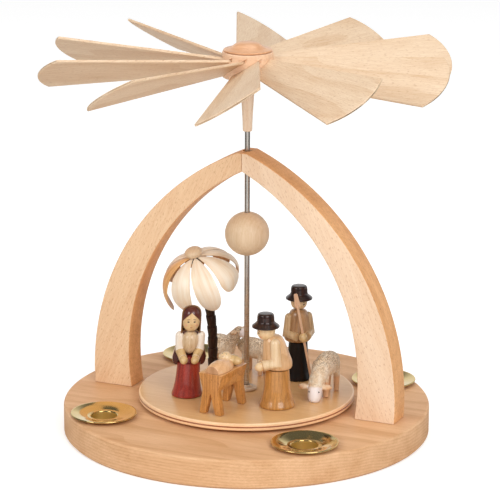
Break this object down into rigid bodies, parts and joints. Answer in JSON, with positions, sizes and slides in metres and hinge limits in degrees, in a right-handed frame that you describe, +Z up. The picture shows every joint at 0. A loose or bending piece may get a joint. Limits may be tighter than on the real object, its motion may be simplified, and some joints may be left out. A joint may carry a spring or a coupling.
{
  "type": "candle carousel",
  "caption": "Heat-driven wooden table carousel: candle dishes on a round base, pitched-blade rotor on a steel spindle, and a turntable with carved figures under a pointed arch.",
  "frame": {"origin": "centre of the round base's underside, on the spindle's axis", "axes": "+Z up along the spindle, X along the arch from foot to foot, Y through the arch's thickness with -Y towards the side the manger faces"},
  "size_m": [0.2804, 0.2698, 0.2692],
  "materials": {
    "ball_wood": "sanded, waxed",
    "beech": "sanded, waxed",
    "beech_turntable": "clear lacquer, satin",
    "black_stain": "black stain, gloss lacquer",
    "blade_wood": "sanded, bare",
    "brass": "spun, polished",
    "clear_plastic": "milky, translucent",
    "dark_stain": "dark stain, gloss lacquer",
    "fleece": "grainy matt coating",
    "hub_wood": "lacquer, satin",
    "manger_wood": "clear satin lacquer",
    "oak_stain": "clear gloss lacquer",
    "pale_lacquer": "clear gloss lacquer",
    "red_stain": "red stain, gloss lacquer",
    "shaving": "bare wood shaving",
    "skin_wood": "clear gloss lacquer",
    "steel": "ground steel rod, semi-gloss"
  },
  "bodies": {
    "base": {"arch_left": "beech", "arch_right": "beech", "base_board": "beech", "bearing_cup": "clear_plastic", "candle_dish_back_left": "brass", "candle_dish_back_right": "brass", "candle_dish_front_left": "brass", "candle_dish_front_right": "brass", "guide_bush": "brass", "leg_screw_left": "steel", "leg_screw_right": "steel"},
    "spindle": {"shaft": "steel", "turntable": "beech_turntable", "collar": "clear_plastic", "ball": "ball_wood", "infant": "skin_wood", "kneeling_woman_bodice": "pale_lacquer", "kneeling_woman_head": "skin_wood", "kneeling_woman_left_arm": "pale_lacquer", "kneeling_woman_right_arm": "pale_lacquer", "kneeling_woman_skirt": "red_stain", "manger": "manger_wood", "palm_bead": "shaving", "palm_leaf_1": "shaving", "palm_leaf_2": "shaving", "palm_leaf_3": "shaving", "palm_leaf_4": "shaving", "palm_leaf_5": "shaving", "palm_leaf_6": "shaving", "palm_leaf_7": "shaving", "palm_leaf_8": "shaving", "palm_trunk": "dark_stain", "sheep_grazing": "fleece", "sheep_lookout": "fleece", "sheep_resting": "fleece", "shepherd_arms": "pale_lacquer", "shepherd_coat": "pale_lacquer", "shepherd_hat": "dark_stain", "shepherd_head": "skin_wood", "shepherd_skirt": "black_stain", "shepherd_staff": "skin_wood", "standing_man_hat": "dark_stain", "standing_man_head": "skin_wood", "standing_man_jacket": "pale_lacquer", "standing_man_left_arm": "pale_lacquer", "standing_man_right_arm": "pale_lacquer", "standing_man_skirt": "oak_stain"},
    "rotor": {"rotor_hub": "hub_wood", "hub_cap": "hub_wood", "rotor_stem": "blade_wood", "blade_01": "blade_wood", "blade_02": "blade_wood", "blade_03": "blade_wood", "blade_04": "blade_wood", "blade_05": "blade_wood", "blade_06": "blade_wood", "blade_07": "blade_wood", "blade_08": "blade_wood", "blade_09": "blade_wood", "blade_10": "blade_wood"}
  },
  "joints": [
    {"name": "spindle_turn", "type": "hinge", "parent": "base", "child": "spindle", "pos_m": [0, 0, 0.0148], "axis": [0, 0, 1], "continuous": true},
    {"name": "rotor_lift", "type": "slide", "parent": "spindle", "child": "rotor", "axis": [0, 0, 1], "range_m": [0, 0.05]}
  ]
}
